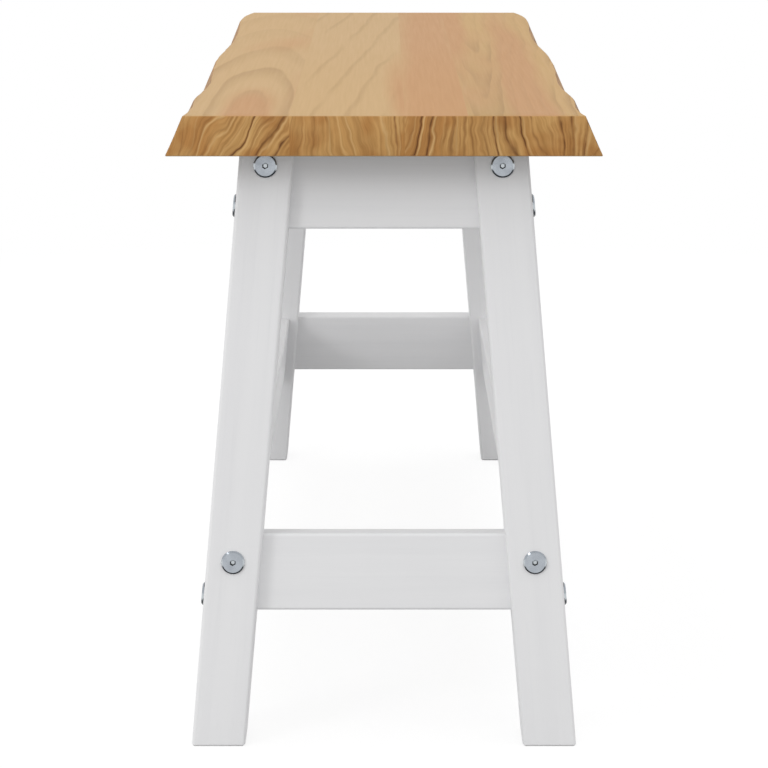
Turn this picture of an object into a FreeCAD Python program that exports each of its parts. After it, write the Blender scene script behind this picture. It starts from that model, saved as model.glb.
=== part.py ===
"""Dining bench: a glued pine seat with waney long sides on a bolted frame of splayed legs and boards.

Millimetres, +Z up. The origin is on the floor under the middle of the seat, and the bench's length runs
along Y. Front is the -Y end, left is the -X side.
"""

import FreeCAD
import Part

import math
import os

# Seat
seat_length = 900.0
seat_width = 300.0
seat_height = 450.0
seat_thickness = 28.0
edge_lean = 11.2
edge_wave = 8.0

# Places of the glue joints between the staves, out from the middle, as shares of the seat's width
stave_joint_shares = (-0.214, 0.047, 0.190)

# Waney edge: share of the length from the front end, then share of the wave by which the edge draws in
top_wave_shares = (
    (0.0, 0.16), (0.03, 0.49), (0.117, 0.33), (0.19, 0.75), (0.314, 0.54),
    (0.49, 0.16), (0.60, 0.56), (0.83, 0.21), (0.914, 0.0), (1.0, 0.99),
)
bottom_wave_shares = (
    (0.0, 0.0), (0.03, 0.22), (0.117, 0.12), (0.19, 0.50), (0.314, 0.36),
    (0.49, 0.05), (0.60, 0.40), (0.83, 0.10), (0.914, 0.0), (1.0, 0.70),
)

# Legs
leg_width = 38.0
leg_splay_degrees = 5.0
leg_top_spread = 200.0
leg_end_inset = 38.0
leg_edge_radius = 2.5
foot_ease = 1.2

# Boards between the legs
board_thickness = 20.0
apron_height = 57.0
stretcher_height = 55.0
stretcher_lift = 95.0
board_edge_radius = 2.0

# Heights at which the bolts enter the boards
side_apron_bolt_drop = 14.5
side_stretcher_bolt_drop = 20.7
end_apron_bolt_rise = 12.3
end_stretcher_bolt_rise = 6.7

# Bolts
bolt_diameter = 6.0
bolt_past_nut = 4.0
bolt_head_diameter = 16.5
bolt_head_height = 2.0
bolt_head_chamfer = 0.6
bolt_tip_chamfer = 0.8
socket_sides = 6
socket_flats = 4.0
socket_depth = 1.6
bolt_clearance = 0.25

# Barrel nuts
nut_diameter = 10.0
nut_length = 12.0
nut_thread_height = 5.0
nut_reach = 15.0
nut_slot_width = 1.4
nut_slot_depth = 1.5

# Dowels
dowel_diameter = 8.0
dowel_leg_depth = 13.0
dowel_board_depth = 22.0
dowel_spacing = 25.0
dowel_chamfer = 1.0
dowel_end_room = 0.5

# Steel angles under the seat
bracket_arm = 30.0
bracket_width = 24.0
bracket_thickness = 2.0
bracket_hole_share = 0.65
side_bracket_share = 0.5

# Wood screws in the angles
screw_diameter = 4.0
screw_head_diameter = 7.5
screw_head_height = 2.4
screw_head_chamfer = 0.8
screw_tip = 4.0
screw_point_width = 0.6
seat_screw_length = 20.0
apron_screw_length = 15.0
screw_recess_width = 0.9
screw_recess_length = 3.6
screw_recess_depth = 1.4

# Gap round what is pushed or screwed into a hole, and the length by which cutting tools overrun
fit = 0.1
overrun = 1.0

slope = math.tan(math.radians(leg_splay_degrees))
lean_cos = math.cos(math.radians(leg_splay_degrees))
lean_sin = math.sin(math.radians(leg_splay_degrees))
underside = seat_height - seat_thickness
leg_through = leg_width * lean_cos
bolt_length = leg_through + nut_reach + bolt_past_nut

UP = FreeCAD.Vector(0, 0, 1)
SIDE = "side"
END = "end"


def leg_face(run, level):
    """Distance from the middle to the legs' outer faces that look along a run of boards, at a height."""
    if run == SIDE:
        top = 0.5 * seat_length - leg_end_inset
    else:
        top = 0.5 * leg_top_spread
    return top + slope * (underside - level)


def board_reach(run, level):
    """Distance from the middle to the end of a board, where it meets the leg."""
    return leg_face(run, level) - leg_width


def board_offset(run, level):
    """Distance from the middle to the centre plane of a run of boards."""
    return leg_face(END if run == SIDE else SIDE, level) - 0.5 * leg_width


def spot(run, along, out, level):
    """Point given by its place along a run of boards, its distance out from the middle and its height."""
    if run == SIDE:
        return FreeCAD.Vector(out, along, level)
    return FreeCAD.Vector(along, out, level)


def revolved(profile):
    """Solid turned round Z from points of radius and height."""
    points = [FreeCAD.Vector(radius, 0, height) for radius, height in profile]
    face = Part.Face(Part.makePolygon(points + points[:1]))
    return face.revolve(FreeCAD.Vector(), UP, 360)


def moved(shape, point, direction):
    """Copy of a shape with its origin at a point and its Z axis along a direction."""
    copy = shape.copy()
    copy.Placement = FreeCAD.Placement(point, FreeCAD.Rotation(UP, direction))
    return copy


def drill(diameter, start, direction, depth):
    """Round cutting tool that starts one overrun outside its mouth."""
    mouth = start - direction * overrun
    return Part.makeCylinder(0.5 * diameter, depth + overrun, mouth, direction)


def flat_sided(first, second):
    """Solid with flat faces between two ends that have as many corners."""
    facing = (first[1] - first[0]).cross(first[2] - first[1])
    if facing.dot(second[0] - first[0]) > 0:
        first, second = first[::-1], second[::-1]
    after = range(-1, len(first) - 1)
    outlines = [first, second]
    outlines += [[first[i], first[i + 1], second[i + 1], second[i]] for i in after]
    faces = [Part.Face(Part.makePolygon(outline + outline[:1])) for outline in outlines]
    shell = Part.makeShell(faces)
    shell.sewShape()
    return Part.makeSolid(shell)


def drilled(shape, tools):
    """Solid with each tool cut out of it in turn."""
    for tool in tools:
        shape = shape.cut(tool)
    return shape.Solids[0]


def save(name, solids):
    """Write one node as a STEP file."""
    shape = solids[0] if len(solids) == 1 else Part.makeCompound(solids)
    if not shape.isValid():
        raise ValueError(name + " is not a valid shape")
    shape.exportStep(os.path.join("parts", name + ".step"))


class Joint:
    """One end of a board: where its bolt, barrel nut and dowel run."""

    def __init__(self, run, out_sign, along_sign, level, dowel_level):
        self.run = run
        self.out_sign = out_sign
        self.outward = spot(run, along_sign * lean_cos, 0, lean_sin)
        self.across = spot(run, 0, out_sign * lean_cos, lean_sin)
        self.upward = spot(run, 0, -out_sign * lean_sin, lean_cos)
        self.entry = self.on_leg(along_sign, level)
        self.dowel_entry = self.on_leg(along_sign, dowel_level)
        self.seat = self.entry + self.outward * leg_through
        self.nut_centre = self.entry - self.outward * nut_reach

    def on_leg(self, along_sign, level):
        """Point on the leg's inner face in the middle of the board's thickness."""
        along = along_sign * board_reach(self.run, level)
        return spot(self.run, along, self.out_sign * board_offset(self.run, level), level)

    def nut_axis(self):
        """Direction from the mouth of the barrel nut's hole inwards, square to the bolt."""
        way = self.across if self.run == SIDE else self.upward
        return (way - self.outward * way.dot(self.outward)).normalize()

    def leg_tools(self):
        """Cutting tools for the leg: the bolt's hole and the dowel's."""
        hole = bolt_diameter + 2 * bolt_clearance
        bolt_hole = drill(hole, self.seat, -self.outward, leg_through + overrun)
        depth = dowel_leg_depth + dowel_end_room
        dowel_hole = drill(dowel_diameter + 2 * fit, self.dowel_entry, self.outward, depth)
        return [bolt_hole, dowel_hole]

    def board_tools(self, mouth_distance):
        """Cutting tools for the board: the holes of the bolt, the dowel and the barrel nut."""
        inward = -self.outward
        hole = bolt_diameter + 2 * bolt_clearance
        bolt_hole = drill(hole, self.entry, inward, nut_reach)
        depth = dowel_board_depth + dowel_end_room
        dowel_hole = drill(dowel_diameter + 2 * fit, self.dowel_entry, inward, depth)
        axis = self.nut_axis()
        mouth = self.nut_centre - axis * mouth_distance
        depth = mouth_distance + nut_length - nut_thread_height + fit
        nut_hole = drill(nut_diameter + 2 * fit, mouth, axis, depth)
        return [bolt_hole, dowel_hole, nut_hole]

    def bolt(self):
        """Flat-headed bolt with a hexagon socket, from the leg's outer face into the barrel nut."""
        radius = 0.5 * bolt_diameter
        head = 0.5 * bolt_head_diameter
        shape = revolved((
            (0, -bolt_head_height),
            (head - bolt_head_chamfer, -bolt_head_height),
            (head, bolt_head_chamfer - bolt_head_height),
            (head, 0),
            (radius, 0),
            (radius, bolt_length - bolt_tip_chamfer),
            (radius - bolt_tip_chamfer, bolt_length),
            (0, bolt_length),
        ))
        corner = 0.5 * socket_flats / math.cos(math.pi / socket_sides)
        turns = [2 * math.pi * step / socket_sides for step in range(socket_sides + 1)]
        top = -bolt_head_height - overrun
        outline = [FreeCAD.Vector(corner * math.cos(turn), corner * math.sin(turn), top) for turn in turns]
        socket = Part.Face(Part.makePolygon(outline)).extrude(UP * (socket_depth + overrun))
        return moved(shape.cut(socket), self.seat, -self.outward)

    def nut(self):
        """Slotted barrel nut with its thread nearer to the slotted end."""
        body = Part.makeCylinder(0.5 * nut_diameter, nut_length)
        thread = bolt_diameter + 2 * fit
        start = FreeCAD.Vector(-nut_diameter, 0, nut_thread_height)
        body = body.cut(drill(thread, start, FreeCAD.Vector(1, 0, 0), 2 * nut_diameter))
        corner = FreeCAD.Vector(-nut_diameter, -0.5 * nut_slot_width, -overrun)
        slot = Part.makeBox(2 * nut_diameter, nut_slot_width, nut_slot_depth + overrun, corner)
        body = body.cut(slot)
        axis = self.nut_axis()
        turn = FreeCAD.Rotation(self.outward, axis.cross(self.outward), axis, "ZXY")
        body.Placement = FreeCAD.Placement(self.nut_centre - axis * nut_thread_height, turn)
        return body

    def dowel(self):
        """Wooden dowel with chamfered ends, part in the leg and part in the board."""
        radius = 0.5 * dowel_diameter
        length = dowel_leg_depth + dowel_board_depth
        shape = revolved((
            (0, 0),
            (radius - dowel_chamfer, 0),
            (radius, dowel_chamfer),
            (radius, length - dowel_chamfer),
            (radius - dowel_chamfer, length),
            (0, length),
        ))
        return moved(shape, self.dowel_entry - self.outward * dowel_board_depth, self.outward)


class Board:
    """One apron or stretcher, leaning with the legs that it joins."""

    def __init__(self, name, run, out_sign, bottom, top, under_seat, bolt_level, dowel_level):
        self.name = name
        self.run = run
        self.out_sign = out_sign
        self.bottom = bottom
        self.top = top
        self.under_seat = under_seat
        self.joints = [Joint(run, out_sign, sign, bolt_level, dowel_level) for sign in (-1, 1)]
        self.bolt_level = bolt_level
        self.tools = []

    def corners(self):
        """Corners of the section as distance out and height, round from the lower outer one."""
        half = 0.5 * board_thickness
        points = []
        for side in (1, -1):
            out = board_offset(self.run, self.bottom) + side * half * lean_cos
            points.append((out, self.bottom + side * half * lean_sin))
        for side in (-1, 1):
            if self.under_seat:
                points.append((board_offset(self.run, self.top) + side * half / lean_cos, self.top))
            else:
                out = board_offset(self.run, self.top) + side * half * lean_cos
                points.append((out, self.top + side * half * lean_sin))
        return points

    def end_points(self, along_sign):
        """Corners of one end, lying on the leg's inner face."""
        points = []
        for out, level in self.corners():
            along = along_sign * board_reach(self.run, level)
            points.append(spot(self.run, along, self.out_sign * out, level))
        return points

    def is_rounded(self, edge):
        """True for the long edges that show, not those against the seat."""
        ends = [vertex.Point for vertex in edge.Vertexes]
        along = [point.y if self.run == SIDE else point.x for point in ends]
        crosses = along[0] * along[1] < 0
        against_seat = self.under_seat and min(point.z for point in ends) > self.top - board_edge_radius
        return crosses and not against_seat

    def nut_mouth(self):
        """Distance from the thread in the barrel nut out to the mouth of its hole."""
        if self.run == SIDE:
            return 0.5 * board_thickness
        return (self.bolt_level - self.bottom) / lean_cos

    def solid(self):
        """Board with rounded edges and the holes of its fastenings."""
        shape = flat_sided(self.end_points(-1), self.end_points(1))
        shape = shape.makeFillet(board_edge_radius, [e for e in shape.Edges if self.is_rounded(e)])
        tools = list(self.tools)
        for joint in self.joints:
            tools += joint.board_tools(self.nut_mouth())
        return drilled(shape, tools)


class Bracket:
    """Steel angle between an apron's inner face and the seat, with one screw into each."""

    def __init__(self, run, out_sign, along):
        self.run = run
        self.out_sign = out_sign
        self.along = along
        self.inner = board_offset(run, underside) - 0.5 * board_thickness / lean_cos
        hole = bracket_arm * bracket_hole_share
        self.seat_start = self.point(self.inner - hole, underside - bracket_thickness)
        out = self.inner + hole * lean_sin - bracket_thickness * lean_cos
        level = underside - hole * lean_cos - bracket_thickness * lean_sin
        self.apron_start = self.point(out, level)
        self.apron_way = spot(run, 0, out_sign * lean_cos, lean_sin)

    def point(self, out, level):
        """Point of the angle's middle section."""
        return spot(self.run, self.along, self.out_sign * out, level)

    def solid(self):
        """The angle with its two screw holes."""
        foot_out = self.inner + bracket_arm * lean_sin
        foot_level = underside - bracket_arm * lean_cos
        bend = bracket_thickness * (1 - lean_sin) / lean_cos
        bend_out = self.inner - bracket_thickness * lean_cos + bend * lean_sin
        outline = [
            self.point(self.inner, underside),
            self.point(foot_out, foot_level),
            self.point(foot_out - bracket_thickness * lean_cos, foot_level - bracket_thickness * lean_sin),
            self.point(bend_out, underside - bracket_thickness),
            self.point(self.inner - bracket_arm, underside - bracket_thickness),
            self.point(self.inner - bracket_arm, underside),
        ]
        half = spot(self.run, 0.5 * bracket_width, 0, 0)
        face = Part.Face(Part.makePolygon([p - half for p in outline + outline[:1]]))
        body = face.extrude(half * 2)
        hole = screw_diameter + 2 * bolt_clearance
        depth = bracket_thickness + overrun
        for start, way in ((self.seat_start, UP), (self.apron_start, self.apron_way)):
            body = body.cut(drill(hole, start, way, depth))
        return body

    def seat_tool(self):
        """Pilot hole for the screw into the seat."""
        return drill(screw_diameter + 2 * fit, self.seat_start, UP, seat_screw_length + fit)

    def apron_tool(self):
        """Pilot hole for the screw into the apron."""
        return drill(screw_diameter + 2 * fit, self.apron_start, self.apron_way, apron_screw_length + fit)


def wood_screw(length, start, way):
    """Pan-headed screw with a cross recess, its head resting on the angle."""
    radius = 0.5 * screw_diameter
    head = 0.5 * screw_head_diameter
    shape = revolved((
        (0, -screw_head_height),
        (head - screw_head_chamfer, -screw_head_height),
        (head, screw_head_chamfer - screw_head_height),
        (head, 0),
        (radius, 0),
        (radius, length - screw_tip),
        (0.5 * screw_point_width, length),
        (0, length),
    ))
    top = -screw_head_height - overrun
    depth = screw_recess_depth + overrun
    for size_x, size_y in (
        (screw_recess_length, screw_recess_width),
        (screw_recess_width, screw_recess_length),
    ):
        corner = FreeCAD.Vector(-0.5 * size_x, -0.5 * size_y, top)
        shape = shape.cut(Part.makeBox(size_x, size_y, depth, corner))
    return moved(shape, start, way)


def wavy_edge(side, half_width, wave_shares, level):
    """Waney long edge of the seat as one spline from the front end to the back."""
    points = []
    for length_share, wave_share in wave_shares:
        out = half_width - edge_wave * wave_share
        points.append(FreeCAD.Vector(side * out, (length_share - 0.5) * seat_length, level))
    spline = Part.BSplineCurve()
    spline.interpolate(points)
    return spline.toShape(), points[0], points[-1]


def outer_stave(side, joint):
    """Seat stave with a waney outer side that leans out towards the floor."""
    half = 0.5 * seat_width
    wires = []
    for width, shares, level in (
        (half, bottom_wave_shares, underside),
        (half - edge_lean, top_wave_shares, seat_height),
    ):
        edge, front, back = wavy_edge(side, width, shares, level)
        inner_front = FreeCAD.Vector(joint, front.y, level)
        inner_back = FreeCAD.Vector(joint, back.y, level)
        sides = [
            edge,
            Part.makeLine(back, inner_back),
            Part.makeLine(inner_back, inner_front),
            Part.makeLine(inner_front, front),
        ]
        wires.append(Part.Wire(sides))
    return Part.makeLoft(wires, True, True)


def seat_staves(tools):
    """The four staves, drilled for the seat screws."""
    joints = [share * seat_width for share in stave_joint_shares]
    staves = [outer_stave(-1, joints[0])]
    for start, end in zip(joints, joints[1:]):
        corner = FreeCAD.Vector(start, -0.5 * seat_length, underside)
        staves.append(Part.makeBox(end - start, seat_length, seat_thickness, corner))
    staves.append(outer_stave(1, joints[-1]))
    return [drilled(stave, tools) for stave in staves]


def leg(side, end, tools):
    """Square leg that splays both ways, with its foot cut level and its holes drilled."""
    outer_x = leg_face(END, 0)
    outer_y = leg_face(SIDE, 0)
    xs = (outer_x, outer_x - leg_width, outer_x - leg_width, outer_x)
    ys = (outer_y, outer_y, outer_y - leg_width, outer_y - leg_width)
    points = [FreeCAD.Vector(side * x, end * y, 0) for x, y in zip(xs, ys)]
    rise = FreeCAD.Vector(-side * slope * underside, -end * slope * underside, underside)
    shape = Part.Face(Part.makePolygon(points + points[:1])).extrude(rise)
    long_edges = [e for e in shape.Edges if abs(e.Vertexes[0].Z - e.Vertexes[-1].Z) > 0.5 * underside]
    shape = shape.makeFillet(leg_edge_radius, long_edges)
    foot_edges = [e for e in shape.Edges if e.BoundBox.ZMax < foot_ease]
    shape = shape.makeChamfer(foot_ease, foot_edges)
    return drilled(shape, tools)


def make_boards():
    """The eight boards by name."""
    stretcher_top = stretcher_lift + stretcher_height
    apron_bottom = underside - apron_height
    side_apron_bolt = underside - side_apron_bolt_drop
    side_stretcher_bolt = stretcher_top - side_stretcher_bolt_drop
    end_apron_bolt = apron_bottom + end_apron_bolt_rise
    end_stretcher_bolt = stretcher_lift + end_stretcher_bolt_rise
    rows = (
        ("side_apron", SIDE, apron_bottom, underside, True, side_apron_bolt, -dowel_spacing),
        ("side_stretcher", SIDE, stretcher_lift, stretcher_top, False, side_stretcher_bolt, -dowel_spacing),
        ("end_apron", END, apron_bottom, underside, True, end_apron_bolt, dowel_spacing),
        ("end_stretcher", END, stretcher_lift, stretcher_top, False, end_stretcher_bolt, dowel_spacing),
    )
    boards = []
    for kind, run, bottom, top, under_seat, bolt_level, dowel_step in rows:
        words = ("left", "right") if run == SIDE else ("front", "back")
        for word, sign in zip(words, (-1, 1)):
            name = kind + "_" + word
            boards.append(Board(name, run, sign, bottom, top, under_seat, bolt_level, bolt_level + dowel_step))
    return boards


def make_brackets():
    """Two angles on each side apron and one in the middle of each end apron."""
    brackets = []
    reach = board_reach(SIDE, underside) * side_bracket_share
    for sign in (-1, 1):
        for along in (-reach, reach):
            brackets.append(Bracket(SIDE, sign, along))
        brackets.append(Bracket(END, sign, 0))
    return brackets


def legs_by_name(boards):
    """The four legs, each drilled for the boards that meet it."""
    legs = {}
    for end, end_word in ((-1, "front"), (1, "back")):
        for side, side_word in ((-1, "left"), (1, "right")):
            tools = []
            for board in boards:
                for joint in board.joints:
                    if joint.entry.x * side > 0 and joint.entry.y * end > 0:
                        tools += joint.leg_tools()
            legs["leg_" + end_word + "_" + side_word] = leg(side, end, tools)
    return legs


def main():
    """Build every piece and write it."""
    os.makedirs("parts", exist_ok=True)
    boards = make_boards()
    brackets = make_brackets()
    for board in boards:
        for bracket in brackets:
            same_run = board.run == bracket.run and board.out_sign == bracket.out_sign
            if board.under_seat and same_run:
                board.tools.append(bracket.apron_tool())

    seat_tools = [bracket.seat_tool() for bracket in brackets]
    for number, stave in enumerate(seat_staves(seat_tools), 1):
        save("seat_stave_" + str(number), [stave])
    for name, shape in legs_by_name(boards).items():
        save(name, [shape])
    for board in boards:
        save(board.name, [board.solid()])

    groups = {
        "side_apron": "side_rail_bolts_upper",
        "side_stretcher": "side_rail_bolts_lower",
        "end_apron": "end_rail_bolts_upper",
        "end_stretcher": "end_rail_bolts_lower",
    }
    for kind, bolt_node in groups.items():
        joints = [joint for board in boards if board.name.startswith(kind) for joint in board.joints]
        save(bolt_node, [joint.bolt() for joint in joints])
        save(kind + "_nuts", [joint.nut() for joint in joints])
        save(kind + "_dowels", [joint.dowel() for joint in joints])

    save("seat_brackets", [bracket.solid() for bracket in brackets])
    save("seat_screws", [wood_screw(seat_screw_length, b.seat_start, UP) for b in brackets])
    save("apron_screws", [wood_screw(apron_screw_length, b.apron_start, b.apron_way) for b in brackets])


main()
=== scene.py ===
"""Looks of a dining bench: a stained pine seat with waney sides on a white painted, bolted frame.

Metres, +Z up, the bench's length along Y, its front end at -Y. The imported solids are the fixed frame.
"""

from __future__ import annotations

import logging
import math
from bisect import bisect_left
from dataclasses import dataclass, field
from enum import Enum
from typing import Callable, Iterable, Sequence

import bpy
from mathutils import Euler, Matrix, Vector

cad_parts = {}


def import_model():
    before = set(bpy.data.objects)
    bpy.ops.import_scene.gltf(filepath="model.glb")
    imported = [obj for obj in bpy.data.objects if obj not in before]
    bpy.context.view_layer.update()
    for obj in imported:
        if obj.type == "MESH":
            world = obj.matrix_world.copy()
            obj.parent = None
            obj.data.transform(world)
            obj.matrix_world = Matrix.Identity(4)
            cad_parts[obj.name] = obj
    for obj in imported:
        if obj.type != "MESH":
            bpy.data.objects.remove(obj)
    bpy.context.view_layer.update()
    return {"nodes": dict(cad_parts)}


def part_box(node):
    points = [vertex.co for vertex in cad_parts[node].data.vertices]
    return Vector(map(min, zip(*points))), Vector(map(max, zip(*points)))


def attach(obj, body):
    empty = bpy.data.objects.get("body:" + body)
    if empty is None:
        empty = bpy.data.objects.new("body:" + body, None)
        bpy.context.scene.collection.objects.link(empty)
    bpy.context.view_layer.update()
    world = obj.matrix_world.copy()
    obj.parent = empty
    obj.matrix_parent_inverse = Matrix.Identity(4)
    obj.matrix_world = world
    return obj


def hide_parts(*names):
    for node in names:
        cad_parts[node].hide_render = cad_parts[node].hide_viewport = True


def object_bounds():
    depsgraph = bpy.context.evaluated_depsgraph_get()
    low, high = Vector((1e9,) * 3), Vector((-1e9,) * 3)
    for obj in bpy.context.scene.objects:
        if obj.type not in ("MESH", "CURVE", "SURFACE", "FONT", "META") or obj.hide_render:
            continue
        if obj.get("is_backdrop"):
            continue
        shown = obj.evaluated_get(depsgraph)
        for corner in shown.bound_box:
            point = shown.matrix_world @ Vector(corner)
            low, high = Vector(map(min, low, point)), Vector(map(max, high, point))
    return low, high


log = logging.getLogger("bench")

Pair = tuple[float, float]
Triple = tuple[float, float, float]
Colour = Triple
Tones = tuple[tuple[float, Colour], ...]
Test = Callable[[Vector, Vector], bool]
Piece = bpy.types.Object
Material = bpy.types.Material
World = bpy.types.World
Node = bpy.types.Node
Socket = bpy.types.NodeSocket

ROOT_BODY = "root"
SPLAY = math.radians(5.0)
SMOOTH_ANGLE = math.radians(35.0)
PLACE_DIGITS = 6
ORIGIN: Triple = (0.0, 0.0, 0.0)
WHITE: Colour = (1.0, 1.0, 1.0)


class Side(Enum):
    """Which long side of a stave is waney, as the sign of its X direction."""

    LEFT = -1
    NONE = 0
    RIGHT = 1


class Face(Enum):
    """Kinds of surface on a stave, in the order of its material slots."""

    LONG_GRAIN = 0
    END_GRAIN = 1
    WANEY = 2
    UNDERSIDE = 3


class BoltFace(Enum):
    """Kinds of surface on a bolt, in the order of its material slots."""

    PLAIN = 0
    RIM = 1
    SOCKET = 2


class Run(Enum):
    """Which way a board runs, as the first word of its node's name."""

    SIDE = "side"
    END = "end"


class Element(Enum):
    """Kinds of mesh element, as the name of their select mode."""

    VERTEX = "VERT"
    EDGE = "EDGE"
    FACE = "FACE"


def opaque(colour: Colour) -> tuple[float, float, float, float]:
    """Colour with full alpha."""
    return (*colour, 1.0)


def grey(level: float) -> Colour:
    """Grey of one level."""
    return (level, level, level)


def grey_tones(*stops: Pair) -> Tones:
    """Tones in greys, from places and levels."""
    return tuple((place, grey(level)) for place, level in stops)


class NodeSheet:
    """The node tree of a material or a world, with short calls for adding and joining nodes."""

    def __init__(self, owner: Material | World) -> None:
        """Start with an empty tree.

        Args:
            owner: The material or world that the nodes belong to.
        """
        self.owner = owner
        owner.use_nodes = True
        self.tree = owner.node_tree
        self.tree.nodes.clear()

    @classmethod
    def named(cls, name: str) -> NodeSheet:
        """Sheet of a new material."""
        return cls(bpy.data.materials.new(name))

    def add(self, kind: str, inputs: dict | None = None, **settings: object) -> Node:
        """Add a node.

        Args:
            kind: The node's type name.
            inputs: Socket name or number to a value or to another node's output.
            settings: Properties of the node itself.

        Returns:
            The new node.
        """
        node = self.tree.nodes.new(kind)
        for key, value in settings.items():
            setattr(node, key, value)
        for key, value in (inputs or {}).items():
            socket = node.inputs[key]
            if isinstance(value, Socket):
                self.tree.links.new(value, socket)
            else:
                socket.default_value = opaque(value) if socket.type == "RGBA" else value
        return node

    def place(self) -> Socket:
        """Object coordinates, which are the bench's own."""
        return self.add("ShaderNodeTexCoord").outputs["Object"]

    def stretched(self, x: float = 1.0, y: float = 1.0, z: float = 1.0) -> Socket:
        """Object coordinates times a share on each axis, which draws a pattern out along it."""
        return self.vector_calc("MULTIPLY", self.place(), (x, y, z)).outputs[0]

    def split(self, vector: Socket) -> tuple[Socket, Socket, Socket]:
        """X, Y and Z of a vector."""
        node = self.add("ShaderNodeSeparateXYZ", {0: vector})
        return node.outputs[0], node.outputs[1], node.outputs[2]

    def join(self, x: object, y: object, z: object) -> Socket:
        """Vector made of three numbers."""
        return self.add("ShaderNodeCombineXYZ", {0: x, 1: y, 2: z}).outputs[0]

    def calc(self, operation: str, first: object, *others: object) -> Socket:
        """Arithmetic on numbers, from left to right.

        Args:
            operation: Name of the math node's operation.
            first: First number.
            others: The other numbers, none for an operation on one.

        Returns:
            The result.
        """
        result = first
        for other in others or (0.0,):
            result = self.add("ShaderNodeMath", {0: result, 1: other}, operation=operation).outputs[0]
        return result

    def ratio(self, value: Socket, origin: float, unit: float) -> Socket:
        """How many units a number lies past an origin."""
        return self.calc("DIVIDE", self.calc("SUBTRACT", value, origin), unit)

    def vector_calc(self, operation: str, first: object, second: object = ORIGIN) -> Node:
        """One step of vector arithmetic, as the node with all its outputs."""
        return self.add("ShaderNodeVectorMath", {0: first, 1: second}, operation=operation)

    def length(self, vector: Socket) -> Socket:
        """Length of a vector."""
        return self.vector_calc("LENGTH", vector).outputs["Value"]

    def scaled(self, vector: object, factor: object) -> Socket:
        """Vector times a number."""
        node = self.add("ShaderNodeVectorMath", {0: vector, "Scale": factor}, operation="SCALE")
        return node.outputs[0]

    def noise(self, vector: Socket, scale: float, detail: float = 2.0, roughness: float = 0.5) -> Socket:
        """Smooth noise between 0 and 1.

        Args:
            vector: Where the noise is read.
            scale: Lumps per metre.
            detail: Octaves added.
            roughness: How strongly each octave shows.

        Returns:
            The noise.
        """
        inputs = {"Vector": vector, "Scale": scale, "Detail": detail, "Roughness": roughness}
        return self.add("ShaderNodeTexNoise", inputs).outputs["Fac"]

    def fine_noise(self, vector: Socket, scale: float) -> Socket:
        """Noise with strong small detail, as in fibres."""
        return self.noise(vector, scale, detail=3.0, roughness=0.6)

    def swing(self, vector: Socket, scale: float, width: float, detail: float = 2.0) -> Socket:
        """Noise that swings to both sides of zero, over a width."""
        return self.calc("MULTIPLY", self.calc("SUBTRACT", self.noise(vector, scale, detail), 0.5), width)

    def ramp(self, factor: Socket, tones: Tones) -> Socket:
        """Colours along a factor.

        Args:
            factor: Number between 0 and 1.
            tones: Place and colour of each stop.

        Returns:
            The colour.
        """
        node = self.add("ShaderNodeValToRGB", {0: factor})
        elements = node.color_ramp.elements
        while len(elements) < len(tones):
            elements.new(1.0)
        for element, (place, colour) in zip(elements, tones):
            element.position = place
            element.color = opaque(colour)
        return node.outputs["Color"]

    def levels(self, factor: object, source: tuple[object, object], target: Pair = (0.0, 1.0)) -> Socket:
        """Number moved from a source range to a target range and clamped."""
        inputs = {0: factor, 1: source[0], 2: source[1], 3: target[0], 4: target[1]}
        return self.add("ShaderNodeMapRange", inputs).outputs[0]

    def mix(self, factor: object, first: object, second: object, blend: str = "MIX") -> Socket:
        """Two colours mixed, on the node's sockets for colours.

        Args:
            factor: Share of the second colour.
            first: First colour.
            second: Second colour.
            blend: Name of the blend mode.

        Returns:
            The mixed colour.
        """
        inputs = {0: factor, 6: first, 7: second}
        return self.add("ShaderNodeMix", inputs, data_type="RGBA", blend_type=blend).outputs[2]

    def streaked(self, colour: Socket, factor: Socket, tones: Tones, share: float = 1.0) -> Socket:
        """Colour multiplied by tones along a factor, for a share."""
        return self.mix(share, colour, self.ramp(factor, tones), "MULTIPLY")

    def bump(self, height: Socket, strength: float, distance: float) -> Socket:
        """Surface normal bent by a height."""
        inputs = {"Height": height, "Strength": strength, "Distance": distance}
        return self.add("ShaderNodeBump", inputs).outputs[0]

    def finish(self, inputs: dict) -> Material:
        """Close the tree with one surface shader.

        Args:
            inputs: Sockets of the surface shader.

        Returns:
            The finished material.
        """
        shader = self.add("ShaderNodeBsdfPrincipled", inputs)
        self.add("ShaderNodeOutputMaterial", {"Surface": shader.outputs[0]})
        return self.owner


@dataclass(frozen=True)
class Figure:
    """Growth lines on a stave's face, spaced by `width` across the grain and by `step` along it."""

    centre: float
    width: float
    step: float
    start: float = 0.0

    def rings(self, sheet: NodeSheet, across: Socket, along: Socket) -> Socket:
        """Number of growth lines counted outwards.

        Args:
            sheet: The material's nodes.
            across: Place across the grain.
            along: Distance from the front end.

        Returns:
            The count, whole numbers on the lines.
        """
        aside = sheet.ratio(across, self.centre, self.width)
        ahead = sheet.calc("DIVIDE", along, self.step)
        return sheet.calc("ADD", self.outwards(sheet, aside, ahead), self.start)

    def outwards(self, sheet: NodeSheet, aside: Socket, ahead: Socket) -> Socket:
        """Count from the figure's centre, which each kind of figure works out in its own way."""
        raise NotImplementedError


@dataclass(frozen=True)
class Arch(Figure):
    """A nest of cathedral arches with blunt tips on the centre line.

    They open towards the front end, or towards the back where `step` is negative.
    """

    blunt: float = 0.35

    def outwards(self, sheet: NodeSheet, aside: Socket, ahead: Socket) -> Socket:
        """Count of arches."""
        square = sheet.calc("ADD", sheet.calc("MULTIPLY", aside, aside), self.blunt ** 2)
        return sheet.calc("ADD", sheet.calc("SQRT", square), ahead)


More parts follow.
